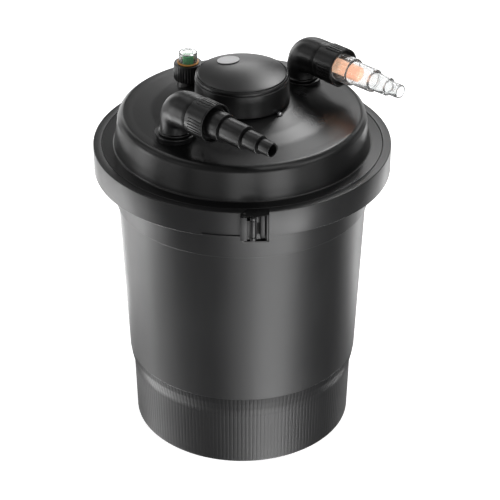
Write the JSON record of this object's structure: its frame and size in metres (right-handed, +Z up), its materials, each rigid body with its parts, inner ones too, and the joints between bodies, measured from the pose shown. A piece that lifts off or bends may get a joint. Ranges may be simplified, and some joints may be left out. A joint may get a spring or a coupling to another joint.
{
  "type": "canister filter",
  "caption": "Upright pond canister filter: tapered drum, domed clamped lid with lamp head, soiling indicator and swivelling stepped hose tails.",
  "frame": {"origin": "centre of the canister's flat bottom", "axes": "+Z up along the canister's axis; the latch is at the front, -Y; the hose tails point between +X and -Y"},
  "size_m": [0.4122, 0.4126, 0.5458],
  "materials": {
    "charcoal_plastic": "satin moulded polypropylene",
    "black_plastic": "satin moulded plastic",
    "ring_plastic": "satin moulded plastic",
    "clear_plastic": "clear moulded plastic",
    "quartz": "clear quartz glass",
    "black_rubber": "smooth rubber",
    "orange_silicone": "smooth silicone",
    "green_plastic": "gloss",
    "silver_badge": "brushed",
    "stainless": "polished",
    "blue_foam": "open-cell foam",
    "yellow_foam": "open-cell foam",
    "red_foam": "open-cell foam",
    "grey_plastic": "moulded plastic",
    "lamp_white": "lamp glass and cap"
  },
  "bodies": {
    "vessel": {"canister": "charcoal_plastic", "lid": "black_plastic", "lid_seal": "black_rubber", "clamp_ring": "ring_plastic", "latch_pivot_pin": "stainless", "inlet_downpipe": "grey_plastic", "centre_tube": "grey_plastic", "base_grate": "grey_plastic", "foam_1_coarse": "blue_foam", "foam_2_coarse": "blue_foam", "foam_3_medium": "yellow_foam", "foam_4_medium": "yellow_foam", "foam_5_fine": "red_foam", "press_plate": "grey_plastic", "tie_rods": "stainless", "wing_nuts": "grey_plastic"},
    "latch_lever": {"latch_lever": "ring_plastic"},
    "latch_link": {"latch_link": "black_plastic", "latch_link_strap": "black_plastic", "latch_hook_bar": "ring_plastic", "latch_link_pin": "stainless"},
    "indicator_cup": {"indicator_cup": "clear_plastic", "indicator_seal": "orange_silicone", "indicator_wiper_ring": "orange_silicone"},
    "indicator_nut": {"indicator_nut": "black_plastic"},
    "indicator_float": {"indicator_float": "green_plastic"},
    "uv_bayonet": {"uv_bayonet_ring": "grey_plastic"},
    "uv_head": {"uv_head_housing": "black_plastic", "uv_head_cover": "black_plastic", "uv_head_badge": "silver_badge", "uv_head_seal": "black_rubber", "quartz_sleeve": "quartz", "quartz_seal": "black_rubber", "quartz_clamp_nut": "grey_plastic", "uv_lamp": "lamp_white", "uv_lamp_socket": "grey_plastic", "uv_ballast": "grey_plastic", "cover_screws": "stainless", "cable_gland": "black_plastic"},
    "uv_lock_washer": {"uv_lock_washer": "stainless"},
    "uv_lock_screw": {"uv_lock_screw": "stainless"},
    "inlet_elbow": {"inlet_elbow": "black_plastic", "inlet_swivel_seal": "black_rubber", "inlet_retaining_clip": "stainless"},
    "inlet_tail": {"inlet_hose_tail": "black_plastic", "inlet_tail_seal": "black_rubber"},
    "inlet_nut": {"inlet_union_nut": "black_plastic"},
    "outlet_elbow": {"outlet_elbow": "black_plastic", "outlet_swivel_seal": "black_rubber", "outlet_retaining_clip": "stainless"},
    "outlet_tail": {"outlet_hose_tail": "clear_plastic", "outlet_tail_seal": "orange_silicone"},
    "outlet_nut": {"outlet_union_nut": "black_plastic"}
  },
  "joints": [
    {"name": "inlet_elbow_swivel", "type": "hinge", "parent": "vessel", "child": "inlet_elbow", "pos_m": [-0.086, -0.0815, 0.46], "axis": [0, 0, 1], "range_deg": [-180, 25]},
    {"name": "inlet_tail_draw", "type": "slide", "parent": "inlet_elbow", "child": "inlet_tail", "axis": [0.7071, -0.7071, 0], "range_m": [0, 0.012]},
    {"name": "inlet_nut_spin", "type": "hinge", "parent": "inlet_tail", "child": "inlet_nut", "pos_m": [-0.086, -0.0815, 0.5185], "axis": [0.7071, -0.7071, 0], "range_deg": [0, 1080]},
    {"name": "outlet_elbow_swivel", "type": "hinge", "parent": "vessel", "child": "outlet_elbow", "pos_m": [0.081, 0.0815, 0.46], "axis": [0, 0, 1], "range_deg": [-25, 180]},
    {"name": "outlet_tail_draw", "type": "slide", "parent": "outlet_elbow", "child": "outlet_tail", "axis": [0.7071, -0.7071, 0], "range_m": [0, 0.012]},
    {"name": "outlet_nut_spin", "type": "hinge", "parent": "outlet_tail", "child": "outlet_nut", "pos_m": [0.081, 0.0815, 0.5185], "axis": [0.7071, -0.7071, 0], "range_deg": [0, 1080]},
    {"name": "indicator_cup_rise", "type": "slide", "parent": "vessel", "child": "indicator_cup", "axis": [0, 0, 1], "range_m": [0, 0.0075]},
    {"name": "indicator_nut_spin", "type": "hinge", "parent": "indicator_cup", "child": "indicator_nut", "pos_m": [-0.073, 0.063, 0.499], "axis": [0, 0, 1], "range_deg": [0, 1080]},
    {"name": "indicator_float_drop", "type": "slide", "parent": "vessel", "child": "indicator_float", "axis": [0, 0, -1], "range_m": [0, 0.011]},
    {"name": "uv_bayonet_turn", "type": "hinge", "parent": "vessel", "child": "uv_bayonet", "pos_m": [0, 0, 0.485], "axis": [0, 0, -1], "range_deg": [0, 30]},
    {"name": "uv_head_lift", "type": "slide", "parent": "uv_bayonet", "child": "uv_head", "axis": [0, 0, 1], "range_m": [0, 0.345]},
    {"name": "uv_lock_washer_rise", "type": "slide", "parent": "vessel", "child": "uv_lock_washer", "axis": [0, 0, 1], "range_m": [0, 0.0028]},
    {"name": "uv_lock_screw_turn", "type": "hinge", "parent": "uv_lock_washer", "child": "uv_lock_screw", "pos_m": [0.0487, -0.0463, 0.485], "axis": [0, 0, 1], "range_deg": [0, 1440]},
    {"name": "latch_lever_swing", "type": "hinge", "parent": "vessel", "child": "latch_lever", "pos_m": [0.0137, -0.2062, 0.408], "axis": [0, 0, 1], "range_deg": [0, 120]},
    {"name": "latch_link_swing", "type": "hinge", "parent": "latch_lever", "child": "latch_link", "pos_m": [0.0028, -0.2062, 0.408], "axis": [0, 0, 1], "range_deg": [-120, 0]}
  ],
  "couplings": [
    {"joint": "inlet_tail_draw", "follows": "inlet_nut_spin", "m_per_rad": 0.0006366},
    {"joint": "outlet_tail_draw", "follows": "outlet_nut_spin", "m_per_rad": 0.0006366},
    {"joint": "indicator_cup_rise", "follows": "indicator_nut_spin", "m_per_rad": 0.0003979},
    {"joint": "uv_lock_screw_turn", "follows": "uv_lock_washer_rise", "rad_per_m": 8976},
    {"joint": "latch_link_swing", "follows": "latch_lever_swing", "ratio": -1}
  ]
}
